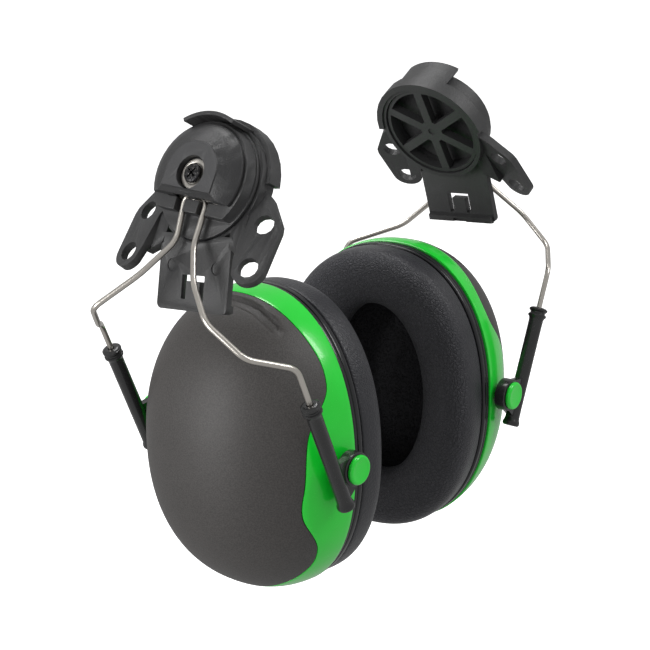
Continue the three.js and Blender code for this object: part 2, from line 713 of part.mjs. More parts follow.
// The foam pad inside the cup.
function foamLiner() {
  return skinned(FOAM.stations.map((s) => cupRing(FOAM.inset, s)));
}

// ---------------------------------------------------------------- assembly

function mountMatrix() {
  const back = new THREE.Vector3(0, 1, 0);
  const up = new THREE.Vector3(-Math.sin(HELMET_SLOPE), 0, Math.cos(HELMET_SLOPE));
  const out = new THREE.Vector3(Math.cos(HELMET_SLOPE), 0, Math.sin(HELMET_SLOPE));
  return new THREE.Matrix4().makeBasis(back, up, out).setPosition(HUB_HALF_SPACING, 0, 0);
}

function armMatrix() {
  return mountMatrix().multiply(new THREE.Matrix4().makeRotationZ(HUB_SWIVEL));
}

function cupMatrix() {
  const back = new THREE.Vector3(-Math.sin(CUP_TOE), Math.cos(CUP_TOE), 0);
  const out = new THREE.Vector3(Math.cos(CUP_TOE), Math.sin(CUP_TOE), 0);
  const basis = new THREE.Matrix4().makeBasis(back, new THREE.Vector3(0, 0, 1), out);
  return basis.setPosition(CUP_CENTRE).multiply(new THREE.Matrix4().makeRotationZ(CUP_LEAN));
}

// A group placed by a matrix.
function placed(matrix, ...members) {
  const group = new THREE.Group();
  matrix.decompose(group.position, group.quaternion, group.scale);
  return group.add(...members);
}

function hubGroup(side) {
  const group = new THREE.Group();
  group.add(
    mesh(`${side}_hub_cover`, hubCover(), BLACK_PLASTIC),
    mesh(`${side}_hub_base`, hubBase(), BLACK_PLASTIC),
    mesh(`${side}_leaf_spring`, leafSpring(), STEEL),
    mesh(`${side}_wire_arm`, wireArm(), STEEL),
  );
  for (const [end, flip] of [['front', 1], ['rear', -1]]) {
    const pair = new THREE.Group();
    pair.scale.x = flip;
    if (end === 'rear') {
      pair.position.copy(REAR_SHIFT);
    }
    pair.add(
      mesh(`${side}_${end}_sleeve`, sleeve(), BLACK_PLASTIC),
      mesh(`${side}_${end}_pivot_pin`, pivotPin(), GREEN_PLASTIC),
    );
    group.add(pair);
  }
  group.rotation.z = HUB_SWIVEL;
  return group;
}

function mountGroup(side) {
  return placed(
    mountMatrix(),
    mesh(`${side}_helmet_mount`, mountFrame(), BLACK_PLASTIC),
    mesh(`${side}_spoked_plate`, spokedPlate(), BLACK_PLASTIC),
    mesh(`${side}_hub_screw`, hubScrew(), BLACK_SCREW),
    mesh(`${side}_screw_bush`, screwBush(), STEEL),
    hubGroup(side),
  );
}

function cupGroup(side) {
  return placed(
    cupMatrix(),
    mesh(`${side}_cup_shell`, cupShell(), GREY_SHELL),
    mesh(`${side}_cup_band`, cupBand(), GREEN_PLASTIC),
    mesh(`${side}_cushion_plate`, cushionPlate(), BLACK_PLASTIC),
    mesh(`${side}_cushion`, cushion(), CUSHION_SKIN),
    mesh(`${side}_foam_liner`, foamLiner(), FOAM_BLACK),
  );
}

function half(side, mirror) {
  const group = new THREE.Group();
  group.add(mountGroup(side), cupGroup(side));
  group.scale.x = mirror;
  return group;
}

const earmuffs = new THREE.Group();
earmuffs.name = 'helmet_earmuffs';
earmuffs.add(half('left', 1), half('right', -1));

export default earmuffs;
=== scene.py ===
import math

import bpy
from mathutils import Matrix, Vector


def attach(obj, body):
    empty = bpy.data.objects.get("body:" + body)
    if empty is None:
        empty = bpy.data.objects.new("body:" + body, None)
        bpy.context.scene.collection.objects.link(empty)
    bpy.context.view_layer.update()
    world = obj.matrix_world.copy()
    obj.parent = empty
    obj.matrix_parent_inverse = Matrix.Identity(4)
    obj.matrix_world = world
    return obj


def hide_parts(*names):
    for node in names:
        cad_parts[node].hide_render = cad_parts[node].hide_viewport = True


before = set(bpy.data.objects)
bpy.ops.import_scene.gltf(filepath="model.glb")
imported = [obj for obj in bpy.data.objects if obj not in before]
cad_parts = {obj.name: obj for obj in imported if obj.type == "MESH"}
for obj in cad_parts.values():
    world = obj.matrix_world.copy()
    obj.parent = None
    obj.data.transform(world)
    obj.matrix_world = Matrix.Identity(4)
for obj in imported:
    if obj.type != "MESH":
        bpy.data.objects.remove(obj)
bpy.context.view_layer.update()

bl_info = {
    "name": "Helmet earmuffs",
    "version": (1, 0, 0),
    "blender": (4, 5, 0),
    "location": "View3D > Sidebar > Earmuffs",
    "description": "Builds a pair of slot-in helmet earmuffs around their packed frame",
    "category": "Object",
}

MM = 0.001
WELD = 0.000002
TAU = 2 * math.pi

# ------------------------------------------------------------------ places of the pieces
# Millimetres, as the solids have them. Only the left half is modelled; the right is its mirror.

HELMET_SLOPE = math.radians(28.4)
HUB_SWIVEL = math.radians(5.9)
HUB_HALF_SPACING = 62.4

CUP_CENTRE = Vector((37.7, 8.2, -92.6))
CUP_TOE = math.radians(6.5)
CUP_LEAN = math.radians(3.3)
CUP_HALF, CUP_TALL, CUP_DEPTH = 42.0, 54.6, 41.0
CUP_POWER, CUP_EGG, CUP_DOME = 2.22, 0.012, 2.2
CUP_WALL = 2.2
FOAM_INSET = 5.6
HOLE_HALF, HOLE_TALL = 19.6, 32.5  # half sizes of the opening in the cushion
PIN_HOLE = 2.5  # radius of the holes for the pivot pins
WIRE_BEND = 3.4  # how far from each corner a bend begins
BORE_DEPTH = 42.5

SLEEVE_TOP = Vector((-44.6, -59.2, -24.7))
SLEEVE_DOWN = Vector((0, -0.6, -0.8))
REAR_SHIFT = Vector((1.6, 0, 1))
PIVOT_Y, PIVOT_Z = -73.6, -57.9

CROSSBAR = Vector((5, -6.3, 9))
WIRE_IN_SLEEVE = 34
WIRE_ABOVE_SLEEVE = {"front": 15, "rear": 11}
LEG_BENDS = {
    "front": [(-5.2, -22.4, 8.7), (-11.7, -34.2, 10.4), (-22.4, -45.8, 10.8), (-36, -53, 2.8)],
    "rear": [(3.4, -21.7, 7.9), (10.5, -35.9, 11.8), (22.2, -51, 15.6), (30, -54.5, 2.5)],
}

# How high the coloured band reaches above the rim, by angle from the top towards a pivot.
BORDER = [
    (0, 10.2), (14, 10), (32, 8.9), (44, 7.8), (54, 7), (62, 7.7), (66, 9.2), (71, 13),
    (77, 17.2), (83, 18.9), (96, 20.1), (102, 20.7), (107, 20.3), (111, 18.8), (119, 13.8),
    (124, 11.8), (132, 10.9), (142, 12.3), (155, 14.4), (168, 15), (180, 15),
]


def axes(x, y, z, origin):
    """A place in the row frame for a piece drawn in millimetres."""
    turn = Matrix((x, y, z)).transposed().to_4x4()
    return Matrix.Scale(MM, 4) @ Matrix.Translation(origin) @ turn


MOUNT = axes(
    (0, 1, 0),
    (-math.sin(HELMET_SLOPE), 0, math.cos(HELMET_SLOPE)),
    (math.cos(HELMET_SLOPE), 0, math.sin(HELMET_SLOPE)),
    Vector((HUB_HALF_SPACING, 0, 0)),
)
ARM = MOUNT @ Matrix.Rotation(HUB_SWIVEL, 4, "Z")
CUP = axes(
    (-math.sin(CUP_TOE), math.cos(CUP_TOE), 0),
    (0, 0, 1),
    (math.cos(CUP_TOE), math.sin(CUP_TOE), 0),
    CUP_CENTRE,
) @ Matrix.Rotation(CUP_LEAN, 4, "Z")
MIRROR_X = Matrix.Scale(-1, 4, (1, 0, 0))


# ------------------------------------------------------------------ modelling helpers


def alone(obj):
    """Makes one object the only selected one."""
    bpy.ops.object.select_all(action="DESELECT")
    obj.select_set(True)
    bpy.context.view_layer.objects.active = obj


def edited(obj, *steps):
    """Runs edit-mode operators on all of an object."""
    alone(obj)
    bpy.ops.object.mode_set(mode="EDIT")
    bpy.ops.mesh.select_all(action="SELECT")
    for step in steps:
        step()
    bpy.ops.object.mode_set(mode="OBJECT")
    return obj


def weld():
    bpy.ops.mesh.remove_doubles(threshold=WELD)


def face_out():
    bpy.ops.mesh.normals_make_consistent(inside=False)


def clear_loose():
    bpy.ops.mesh.delete_loose(use_verts=True, use_edges=True, use_faces=False)
    bpy.ops.mesh.select_all(action="SELECT")


def modified(obj, kind, **settings):
    """Adds a modifier, sets it up and applies it."""
    alone(obj)
    modifier = obj.modifiers.new(kind.title(), kind)
    for key, value in settings.items():
        setattr(modifier, key, value)
    bpy.ops.object.modifier_apply(modifier=modifier.name)
    return obj


def smooth(obj, degrees=40):
    alone(obj)
    bpy.ops.object.shade_smooth_by_angle(angle=math.radians(degrees))
    return obj


def softened(obj, width, segments=2, degrees=35):
    """Rounds the sharp edges of a moulded piece."""
    modified(
        obj, "BEVEL", width=width * MM, segments=segments, limit_method="ANGLE",
        angle_limit=math.radians(degrees), use_clamp_overlap=True,
    )
    return obj


def lofted(name, rings, place, loop=False, capped=False):
    """A skin through rings of equally many points given in a place's millimetres."""
    across, along = len(rings[0]), len(rings) - (0 if loop else 1)
    bpy.ops.object.select_all(action="DESELECT")
    bpy.ops.mesh.primitive_grid_add(x_subdivisions=across, y_subdivisions=along, size=1)
    obj = bpy.context.object
    obj.name = obj.data.name = name
    for vertex in obj.data.vertices:
        i = round((vertex.co.x + 0.5) * across) % across
        j = round((vertex.co.y + 0.5) * along) % len(rings)
        vertex.co = place @ Vector(rings[j][i])
    steps = [weld, clear_loose]
    if capped:
        steps.append(lambda: bpy.ops.mesh.fill_holes(sides=0))
    return edited(obj, *steps, face_out)


def spun(name, profile, place, steps=64):
    """A body turned about Z from an outline of (radius, height) in millimetres."""
    bpy.ops.object.select_all(action="DESELECT")
    bpy.ops.mesh.primitive_circle_add(vertices=len(profile), radius=1, fill_type="NOTHING")
    obj = bpy.context.object
    obj.name = obj.data.name = name
    for vertex, (radius, height) in zip(obj.data.vertices, profile):
        vertex.co = (radius, 0, height)
    edited(
        obj,
        lambda: bpy.ops.mesh.spin(steps=steps, angle=TAU, center=(0, 0, 0), axis=(0, 0, 1)),
        lambda: bpy.ops.mesh.select_all(action="SELECT"),
        lambda: bpy.ops.mesh.remove_doubles(threshold=0.0005),
        clear_loose,
    )
    obj.data.transform(place)
    return edited(obj, face_out)


def slab(name, outline, low, high, place):
    """A flat plate from an outline, extruded from one height to another."""
    bpy.ops.object.select_all(action="DESELECT")
    bpy.ops.mesh.primitive_circle_add(vertices=len(outline), radius=1, fill_type="NGON")
    obj = bpy.context.object
    obj.name = obj.data.name = name
    for vertex, (x, y) in zip(obj.data.vertices, outline):
        vertex.co = (x, y, low)
    edited(
        obj,
        lambda: bpy.ops.mesh.extrude_region_move(
            TRANSFORM_OT_translate={"value": (0, 0, high - low)}),
    )
    obj.data.transform(place)
    return edited(obj, face_out)


def merged(first, second, operation="UNION"):
    """Joins two closed solids, or cuts the second away from the first."""
    modified(first, "BOOLEAN", operation=operation, object=second, solver="EXACT")
    bpy.data.objects.remove(second)
    return first


def copied_solid(node, name, bevel):
    """A frame solid's shape as a new piece with welded faces and rounded edges."""
    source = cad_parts[node]
    obj = bpy.data.objects.new(name, source.data.copy())
    bpy.context.collection.objects.link(obj)
    obj.data.name = name
    obj.data.materials.clear()
    alone(obj)
    bpy.ops.mesh.customdata_custom_splitnormals_clear()
    edited(obj, lambda: bpy.ops.mesh.remove_doubles(threshold=0.00001))
    modified(obj, "DECIMATE", decimate_type="DISSOLVE", angle_limit=math.radians(1))
    if bevel:
        softened(obj, bevel)
    smooth(obj, 32)
    return modified(obj, "WEIGHTED_NORMAL", keep_sharp=True)


def mirrored(obj, name):
    """The right-hand copy of a left-hand piece, with its own mesh."""
    twin = obj.copy()
    twin.data = obj.data.copy()
    twin.name = twin.data.name = name
    bpy.context.collection.objects.link(twin)
    twin.data.transform(MIRROR_X)
    twin.data.flip_normals()
    return twin


def finished(obj, node, body, material):
    """Puts a left piece and its mirror image in place of their solids."""
    names = {"left": obj, "right": mirrored(obj, node)}
    for side, piece in names.items():
        piece.name = piece.data.name = f"{side}_{node}_look"
        piece.data.materials.clear()
        piece.data.materials.append(material)
        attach(piece, body if body == "helmet_side" else f"{side}_{body}")
        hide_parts(f"{side}_{node}")
    return names


# ------------------------------------------------------------------ shader helpers


class Number:
    """A number that varies over a surface, with arithmetic that adds its nodes."""

    def __init__(self, finish, socket):
        self.finish = finish
        self.socket = socket

    def _math(self, operation, first, second=None, clamp=False):
        values = {0: first} if second is None else {0: first, 1: second}
        made = self.finish.node("Math", {"operation": operation, "use_clamp": clamp}, values)
        return Number(self.finish, made.outputs[0])

    def __add__(self, other):
        return self._math("ADD", self, other)

    __radd__ = __add__

    def __mul__(self, other):
        return self._math("MULTIPLY", self, other)

    __rmul__ = __mul__

    def __sub__(self, other):
        return self._math("SUBTRACT", self, other)

    def __rsub__(self, other):
        return self._math("SUBTRACT", other, self)

    def clamped(self):
        return self._math("ADD", self, 0.0, clamp=True)

    def root(self):
        return self._math("SQRT", self)

    def sine(self):
        return self._math("SINE", self)

    def unsigned(self):
        return self._math("ABSOLUTE", self)

    def step(self, low, high):
        """0 below low and 1 above high, with a smooth change between."""
        made = self.finish.node(
            "MapRange", {"interpolation_type": "SMOOTHSTEP"},
            {"Value": self, "From Min": low, "From Max": high})
        return Number(self.finish, made.outputs["Result"])


class Finish:
    """A material built from nodes around one principled shader."""

    def __init__(self, name, **constants):
        self.material = bpy.data.materials.new(name)
        self.material.use_nodes = True
        self.tree = self.material.node_tree
        self.shader = self.tree.nodes["Principled BSDF"]
        for key, value in constants.items():
            self.shader.inputs[key.replace("_", " ")].default_value = value

    def node(self, kind, settings=None, values=None):
        made = self.tree.nodes.new("ShaderNode" + kind)
        for key, value in (settings or {}).items():
            setattr(made, key, value)
        for key, value in (values or {}).items():
            self.put(made.inputs[key], value)
        return made

    def put(self, socket, value):
        if isinstance(value, Number):
            value = value.socket
        if isinstance(value, bpy.types.NodeSocket):
            self.tree.links.new(value, socket)
        else:
            socket.default_value = value

    def feed(self, socket, value):
        self.put(self.shader.inputs[socket], value)

    def local(self, place):
        """Object coordinates turned into a left or right place's millimetres."""
        raw = self.node("TexCoord").outputs["Object"]
        split = self.node("SeparateXYZ", None, {0: raw})
        width = Number(self, split.outputs[0]).unsigned()
        joined = self.node("CombineXYZ", None, {0: width, 1: split.outputs[1], 2: split.outputs[2]})
        where, turn, _ = place.decompose()
        mapping = self.node(
            "Mapping", {"vector_type": "TEXTURE"},
            {"Vector": joined.outputs[0], "Location": where, "Rotation": turn.to_euler(),
             "Scale": (MM, MM, MM)})
        return mapping.outputs[0]

    def parts(self, vector):
        split = self.node("SeparateXYZ", None, {0: vector})
        return [Number(self, output) for output in split.outputs]

    def stretched(self, vector, scale):
        return self.node("Mapping", None, {"Vector": vector, "Scale": scale}).outputs[0]

    def noise(self, vector, scale, detail=3.0, roughness=0.55):
        made = self.node(
            "TexNoise", None,
            {"Vector": vector, "Scale": scale, "Detail": detail, "Roughness": roughness})
        return Number(self, made.outputs["Fac"])

    def cells(self, vector, scale, feature="DISTANCE_TO_EDGE", randomness=1.0):
        made = self.node(
            "TexVoronoi", {"feature": feature},
            {"Vector": vector, "Scale": scale, "Randomness": randomness})
        return Number(self, made.outputs["Distance"])

    def attribute(self, name):
        made = self.node("Attribute", {"attribute_name": name})
        return Number(self, made.outputs["Fac"])

    def colour(self, mask, low, high):
        made = self.node(
            "Mix", {"data_type": "RGBA"}, {0: mask, 6: (*low, 1), 7: (*high, 1)})
        return made.outputs[2]

    def bump(self, height, distance, strength=1.0, normal=None):
        values = {"Height": height, "Distance": distance * MM, "Strength": strength}
        if normal is not None:
            values["Normal"] = normal
        return self.node("Bump", None, values).outputs["Normal"]


def black_plastic():
    """Spark-eroded black moulding: fine pits, faint flow clouds and dust in the texture."""
    look = Finish("Eroded black plastic", Specular_IOR_Level=0.5)
    spot = look.local(MOUNT)
    grain = look.noise(spot, 1.5, 4.0, 0.65)
    pits = look.noise(spot, 3.2, 2.0, 0.6)
    clouds = look.noise(spot, 0.09, 3.0, 0.5)
    dust = (look.noise(spot, 1.3, 5.0, 0.7).step(0.62, 0.78)) * clouds.step(0.45, 0.7)
    look.feed("Base Color", look.colour(
        (clouds * 0.55 + grain * 0.25 + dust * 0.6).clamped(),
        (0.02, 0.02, 0.0205), (0.056, 0.056, 0.057)))
    look.feed("Roughness", 0.3 + grain * 0.16 + clouds * 0.1)
    fine = look.bump(pits, 0.08, 0.7)
    look.feed("Normal", look.bump(grain, 0.16, 0.7, fine))
    return look.material


def cover_plastic():
    """The hub cover: eroded cone, with a duller raised face that is painted paler as a painted
    sheen.
    """
    look = Finish("Eroded hub cover", Specular_IOR_Level=0.5)
    spot = look.local(ARM)
    x, y, z = look.parts(spot)
    # The face mask makes the raised face duller in roughness and paints it paler in colour, a
    # painted sheen.
    face = z.step(15.78, 15.86)
    grain = look.noise(spot, 1.9, 4.0, 0.65)
    clouds = look.noise(spot, 0.1, 3.0, 0.5)
    look.feed("Base Color", look.colour(
        (face * 0.6 + clouds * 0.35 + grain * 0.2).clamped(),
        (0.01, 0.01, 0.0105), (0.055, 0.055, 0.057)))
    look.feed("Roughness", 0.3 + grain * 0.16 + face * 0.1)
    look.feed("Normal", look.bump(grain, 0.16, 0.75))
    return look.material


def sleeve_plastic():
    """Semi-gloss black moulding with fine scuffs and soft ripples."""
    look = Finish("Semi-gloss black plastic", Specular_IOR_Level=0.5, Coat_Weight=0.15)
    spot = look.local(ARM)
    ripples = look.noise(look.stretched(spot, (1, 0.35, 0.35)), 0.4, 2.0)
    scuffs = look.noise(look.stretched(spot, (3, 0.6, 0.6)), 1.6, 4.0).step(0.6, 0.75)
    grain = look.noise(spot, 4.0, 2.0)
    look.feed("Base Color", look.colour(
        (ripples * 0.6 + scuffs * 0.4).clamped(), (0.013, 0.013, 0.0135), (0.034, 0.034, 0.035)))
    look.feed("Roughness", 0.2 + scuffs * 0.14 + grain * 0.08)
    look.feed("Normal", look.bump(ripples, 0.12, 0.4, look.bump(grain, 0.02, 0.35)))
    return look.material


def plate_plastic():
    """Glossy black rim of the cup's plate."""
    look = Finish("Glossy black plastic", Specular_IOR_Level=0.4, Coat_Weight=0.12)
    spot = look.local(CUP)
    ripples = look.noise(spot, 0.12, 2.0)
    specks = look.noise(spot, 2.4, 5.0).step(0.64, 0.76)
    look.feed("Base Color", look.colour(
        (ripples * 0.5 + specks * 0.3).clamped(), (0.008, 0.008, 0.0095), (0.022, 0.022, 0.025)))
    look.feed("Roughness", 0.2 + specks * 0.16 + ripples * 0.08)
    look.feed("Normal", look.bump(ripples, 0.18, 0.35))
    return look.material


def shell_plastic():
    """Warm dark grey satin with a very fine speckle."""
    look = Finish("Satin grey shell", Specular_IOR_Level=0.5)
    spot = look.local(CUP)
    speckle = look.noise(spot, 2.1, 3.0, 0.7).step(0.36, 0.64)
    grain = look.noise(spot, 1.4, 4.0, 0.65)
    clouds = look.noise(spot, 0.05, 3.0, 0.5)
    look.feed("Base Color", look.colour(
        (speckle * 0.75 + clouds * 0.35 - 0.05).clamped(),
        (0.034, 0.0315, 0.03), (0.07, 0.0645, 0.0615)))
    look.feed("Roughness", 0.43 + grain * 0.14 + clouds * 0.05)
    look.feed("Normal", look.bump(grain, 0.1, 0.6, look.bump(speckle, 0.03, 0.5)))
    return look.material


def green_plastic():
    """Glossy green moulding with slight depth to its colour."""
    look = Finish("Glossy green plastic", Specular_IOR_Level=0.5, Coat_Weight=0.35)
    spot = look.local(CUP)
    depth = look.noise(spot, 0.06, 3.0)
    ripples = look.noise(spot, 0.25, 2.0)
    specks = look.noise(spot, 2.8, 5.0).step(0.66, 0.78)
    look.feed("Base Color", look.colour(
        (depth * 0.8 + specks * 0.2).clamped(), (0.004, 0.66, 0.024), (0.012, 0.84, 0.05)))
    look.feed("Roughness", 0.22 + specks * 0.14 + ripples * 0.06)
    look.feed("Normal", look.bump(ripples, 0.08, 0.35))
    return look.material


def wire_steel():
    """Drawn spring steel: fine lengthwise lines and a warm tint."""
    look = Finish("Drawn spring steel", Metallic=1.0)
    path = look.node("UVMap").outputs[0]
    lines = look.noise(look.stretched(path, (60, 6, 1)), 1.0, 4.0, 0.6)
    tint = look.noise(look.stretched(path, (2, 30, 1)), 1.0, 3.0)
    look.feed("Base Color", look.colour(
        (lines * 0.5 + tint * 0.5).clamped(), (0.42, 0.39, 0.35), (0.78, 0.745, 0.69)))
    look.feed("Roughness", 0.2 + lines * 0.14 + tint * 0.08)
    look.feed("Normal", look.bump(lines, 0.02, 0.5))
    return look.material


TOOL_MARKS = 26.0  # radians of tool mark per millimetre of radius


def turned_steel():
    """Turned steel bush: rings of tool marks about its axis."""
    look = Finish("Turned steel", Metallic=1.0)
    spot = look.local(MOUNT)
    x, y, z = look.parts(spot)
    rings = ((x * x + y * y).root() * TOOL_MARKS).sine()
    stain = look.noise(spot, 0.8, 4.0)
    look.feed("Base Color", look.colour(
        (stain * 0.8 + rings * 0.12).clamped(), (0.36, 0.34, 0.31), (0.74, 0.71, 0.66)))
    look.feed("Roughness", 0.26 + stain * 0.18)
    look.feed("Normal", look.bump(rings, 0.012, 0.5))
    return look.material


def screw_steel():
    """Blackened screw with worn, brighter arrises."""
    look = Finish("Blackened steel", Metallic=0.85)
    spot = look.local(MOUNT)
    x, y, z = look.parts(spot)
    wear = look.noise(spot, 2.4, 5.0, 0.7).step(0.5, 0.72) * z.step(14.6, 15.3)
    grain = look.noise(spot, 3.5, 4.0)
    look.feed("Base Color", look.colour(wear, (0.018, 0.018, 0.02), (0.3, 0.29, 0.28)))
    look.feed("Roughness", 0.34 + grain * 0.16 - wear * 0.08)
    look.feed("Normal", look.bump(grain, 0.03, 0.5))
    return look.material


def cushion_skin():
    """Black vinyl with a leather grain on its face, glossier and finer on its side."""
    look = Finish("Grained black vinyl", Specular_IOR_Level=0.35, Sheen_Weight=0.03,
                  Sheen_Roughness=0.4)
    spot = look.local(CUP)
    face = look.attribute("face")
    wobble = look.noise(spot, 1.1, 2.0)
    bent = look.node("VectorMath", {"operation": "MULTIPLY_ADD"}, {
        0: look.node("TexNoise", None, {"Vector": spot, "Scale": 0.8, "Detail": 2.0}
                     ).outputs["Color"], 1: (0.5, 0.5, 0.5), 2: spot}).outputs[0]
    creases = look.cells(bent, 0.8).step(0.0, 0.22)
    fine = look.cells(bent, 1.7).step(0.0, 0.28)
    dust = look.noise(spot, 2.2, 5.0, 0.75).step(0.66, 0.8) * face
    shade = look.noise(spot, 0.07, 3.0)
    # Darker colour along the grain's creases is painted shade in their hollows; the pale specks on
    # the face are dust.
    look.feed("Base Color", look.colour(
        (shade * 0.4 + face * 0.2 + creases * 0.35 * face + dust * 0.7).clamped(),
        (0.02, 0.02, 0.0235), (0.066, 0.066, 0.074)))
    look.feed("Roughness", (0.3 + face * 0.17 + wobble * 0.08 + dust * 0.1 - creases * 0.04)
              .clamped())
    height = (creases * 0.7 + fine * 0.3) * (0.2 + face * 0.8)
    look.feed("Normal", look.bump(height, 0.45, 0.9, look.bump(shade, 0.5, 0.15)))
    return look.material


def foam_black():
    """Open-cell black foam."""
    look = Finish("Open-cell foam", Specular_IOR_Level=0.2)
    spot = look.local(CUP)
    pores = look.cells(spot, 1.5, "F1").step(0.1, 0.6)
    fine = look.noise(spot, 3.2, 4.0, 0.7)
    # The pores are painted darker, a painted shade in their hollows.
    look.feed("Base Color", look.colour(
        (pores * 0.6 + fine * 0.5).clamped(), (0.008, 0.008, 0.0085), (0.036, 0.036, 0.039)))
    look.feed("Roughness", 0.9 + fine * 0.08)
    look.feed("Normal", look.bump(pores + fine * 0.4, 0.5, 0.8))
    return look.material


def floor_paper():
    look = Finish("Pale paper floor")
    spot = look.node("TexCoord").outputs["Object"]
    fibre = look.noise(spot, 60.0, 3.0)
    look.feed("Base Color", look.colour(fibre, (0.9, 0.9, 0.9), (0.94, 0.94, 0.94)))
    look.feed("Roughness", 0.85 + fibre * 0.1)
    look.feed("Emission Color", (1, 1, 1, 1))
    look.feed("Emission Strength", 0.75)
    return look.material


# ------------------------------------------------------------------ the cup's form


def signed_power(value, power):
    return math.copysign(abs(value) ** power, value)


def rim_point(angle, inset, k=1.0, z=0.0):
    """A point of the cup's rim outline, drawn in by an inset and scaled by k."""
    y = (CUP_TALL - inset) * k * signed_power(math.sin(angle), 2 / CUP_POWER)
    x = (CUP_HALF - inset) * k * signed_power(math.cos(angle), 2 / CUP_POWER)
    return Vector((x * (1 - CUP_EGG * y / CUP_TALL), y, z))


def dome_point(angle, inset, s):
    """A point of the dome: s is 0 at the rim and 1 at the crown."""
    turn = s * math.pi / 2
    k = max(0.0, math.cos(turn)) ** (2 / CUP_DOME)
    return rim_point(angle, inset, k, (CUP_DEPTH - inset) * math.sin(turn) ** (2 / CUP_DOME))


def dome_measure(height):
    return math.asin((height / CUP_DEPTH) ** (CUP_DOME / 2)) * 2 / math.pi


def border_height(angle):
    """The band's height at an angle, smooth through the border's knots."""
    from_top = abs((math.degrees(angle) - 90 + 180) % 360 - 180)
    last = len(BORDER) - 1
    for i in range(last):
        (a0, h0), (a1, h1) = BORDER[i], BORDER[i + 1]
        if from_top <= a1:
            before, after = BORDER[max(i - 1, 0)], BORDER[min(i + 2, last)]
            t = (from_top - a0) / (a1 - a0)
            m0 = (h1 - before[1]) / (a1 - before[0]) * (a1 - a0)
            m1 = (after[1] - h0) / (after[0] - a0) * (a1 - a0)
            return ((2 * t**3 - 3 * t**2 + 1) * h0 + (t**3 - 2 * t**2 + t) * m0
                    + (3 * t**2 - 2 * t**3) * h1 + (t**3 - t**2) * m1)
    return BORDER[last][1]


def around(count):
    return [i * TAU / count for i in range(count)]


def blend(low, high, t):
    return low + (high - low) * t


# ------------------------------------------------------------------ sizes a user may change


class EarmuffSizes(bpy.types.PropertyGroup):
    wire_radius: bpy.props.FloatProperty(
        name="Wire radius", description="Half the thickness of the sprung wire",
        default=0.001, min=0.0005, max=0.00125, unit="LENGTH", subtype="DISTANCE")
    edge_round: bpy.props.FloatProperty(
        name="Edge rounding", description="How far moulded edges are rounded",
        default=0.00032, min=0.0, max=0.001, unit="LENGTH", subtype="DISTANCE")
    cushion_swell: bpy.props.FloatProperty(
        name="Cushion swell", description="The most that the padding may bulge",
        default=0.0016, min=0.0, max=0.004, unit="LENGTH", subtype="DISTANCE")
    button_dome: bpy.props.FloatProperty(
        name="Button dome", description="How far a pivot button's face stands proud",
        default=0.0016, min=0.0, max=0.003, unit="LENGTH", subtype="DISTANCE")


def sizes():
    return bpy.context.scene.earmuff_sizes


# ------------------------------------------------------------------ operators


class EARMUFF_OT_brackets(bpy.types.Operator):
    """Makes the two helmet brackets and the spoked plates that close them"""

    bl_idname = "earmuff.brackets"
    bl_label = "Helmet brackets"

    def execute(self, context):
        plastic = black_plastic()
        rounding = sizes().edge_round / MM
        bracket = copied_solid("left_helmet_mount", "bracket", rounding)
        finished(bracket, "helmet_mount", "helmet_side", plastic)
        wheel = copied_solid("left_spoked_plate", "wheel", rounding * 0.6)
        finished(wheel, "spoked_plate", "helmet_side", plastic)
        return {"FINISHED"}


class EARMUFF_OT_hubs(bpy.types.Operator):
    """Makes the swivel hubs: cover, base and the leaf under the wire"""

    bl_idname = "earmuff.hubs"
    bl_label = "Swivel hubs"

    def execute(self, context):
        rounding = sizes().edge_round / MM
        cover = copied_solid("left_hub_cover", "cover", rounding)
        finished(cover, "hub_cover", "hub", cover_plastic())
        base = copied_solid("left_hub_base", "base", rounding)
        finished(base, "hub_base", "hub", black_plastic())
        leaf = copied_solid("left_leaf_spring", "leaf", 0.08)
        finished(leaf, "leaf_spring", "hub", turned_steel())
        return {"FINISHED"}


class EARMUFF_OT_screws(bpy.types.Operator):
    """Makes the hub screws and the steel bushes they hold"""

    bl_idname = "earmuff.screws"
    bl_label = "Screws and bushes"

    def execute(self, context):
        head, shank, top, under = 3.3, 1.6, 15.3, 14.3
        screw = spun("screw", [
            (0, 1.5), (shank, 2.1), (shank, under), (head - 0.15, under), (head, under + 0.15),
            (head, top - 0.55), (head - 0.12, top - 0.3), (head - 0.4, top - 0.1),
            (head - 0.9, top), (0, top),
        ], MOUNT, 48)
        for turn in (math.radians(38), math.radians(128)):
            place = MOUNT @ Matrix.Rotation(turn, 4, "Z")
            arm = [(-1.9, -0.32), (1.9, -0.32), (2.1, 0), (1.9, 0.32), (-1.9, 0.32), (-2.1, 0)]
            merged(screw, slab("cross", arm, top - 1.1, top + 1, place), "DIFFERENCE")
        softened(screw, 0.06, 2, 40)
        smooth(screw)
        finished(screw, "hub_screw", "helmet_side", screw_steel())
        bush = spun("bush", [
            (1.9, 5), (2.6, 5), (2.6, 13.2), (5.1, 13.2), (5.2, 13.3), (5.2, 13.75),
            (5.05, 13.95), (4.8, 14), (3.75, 14), (3.6, 13.9), (3.5, 13.65), (1.9, 13.65),
        ], MOUNT, 64)
        smooth(bush)
        finished(bush, "screw_bush", "helmet_side", turned_steel())
        return {"FINISHED"}


